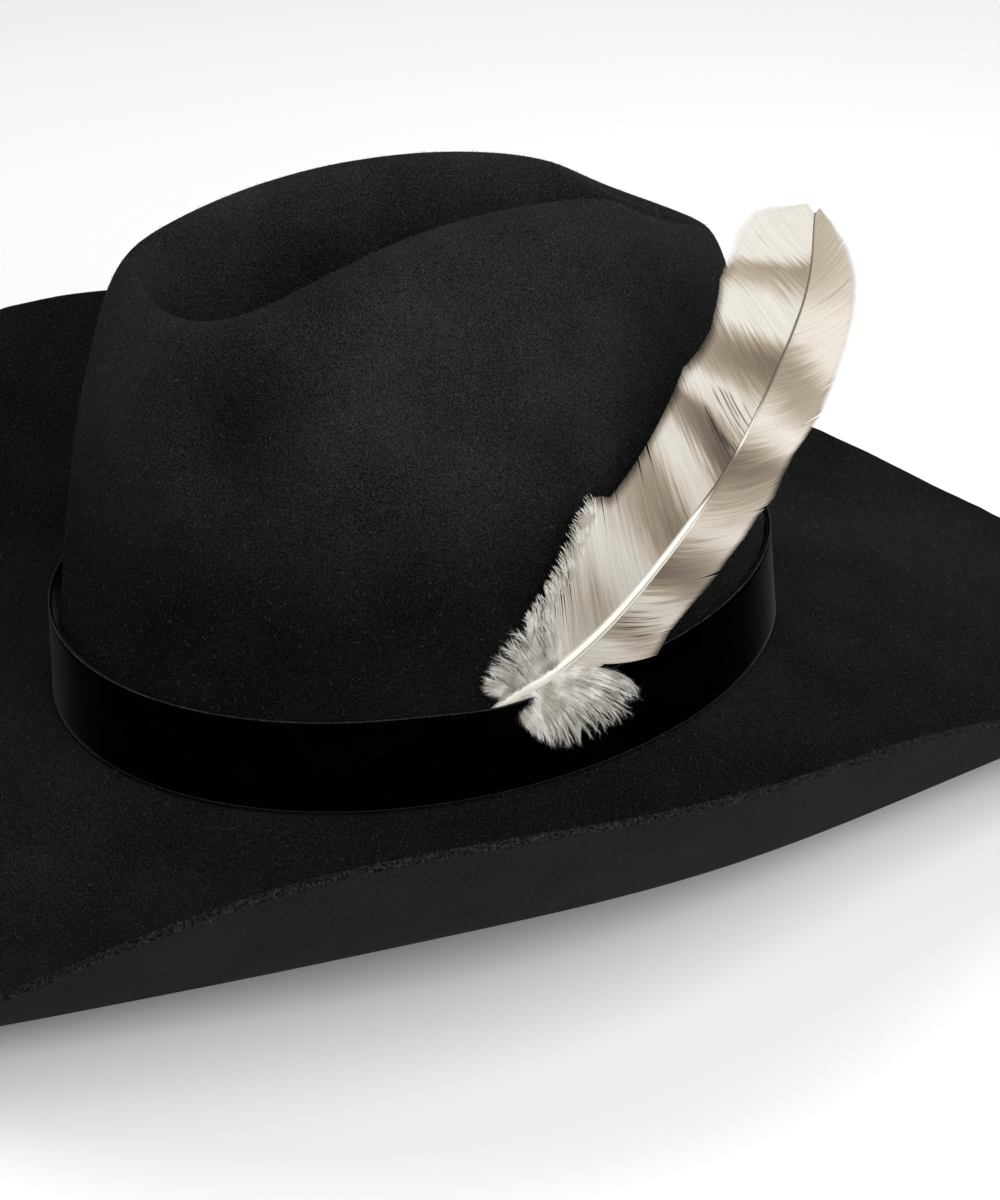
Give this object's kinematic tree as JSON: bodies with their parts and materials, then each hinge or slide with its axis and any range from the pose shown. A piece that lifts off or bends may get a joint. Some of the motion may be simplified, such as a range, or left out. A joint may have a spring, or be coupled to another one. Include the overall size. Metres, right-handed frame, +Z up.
{
  "type": "western felt hat",
  "caption": "Black fur-felt western hat with a creased teardrop crown, a wide brim rolled up at the sides, a velvet ribbon round the crown and a barred feather tucked under it",
  "frame": {"origin": "on the table the hat rests on, under the middle of its length and width", "axes": "+Z up, -Y towards the front of the hat, +Y towards its back, -X the wearer's right, where the feather is"},
  "size_m": [0.3472, 0.4206, 0.1726],
  "materials": {
    "felt": "matt, short nap with a soft sheen",
    "velvet": "matt velvet pile with ribbed edges",
    "quill": "smooth horny satin",
    "vane": "fine barbs, cream barred with brown",
    "down": "fluffy"
  },
  "bodies": {
    "root": {"felt_body": "felt", "ribbon_band": "velvet", "feather_shaft": "quill", "feather_vane_rear": "vane", "feather_vane_front": "vane", "feather_down_rear": "down", "feather_down_front": "down"}
  },
  "joints": []
}
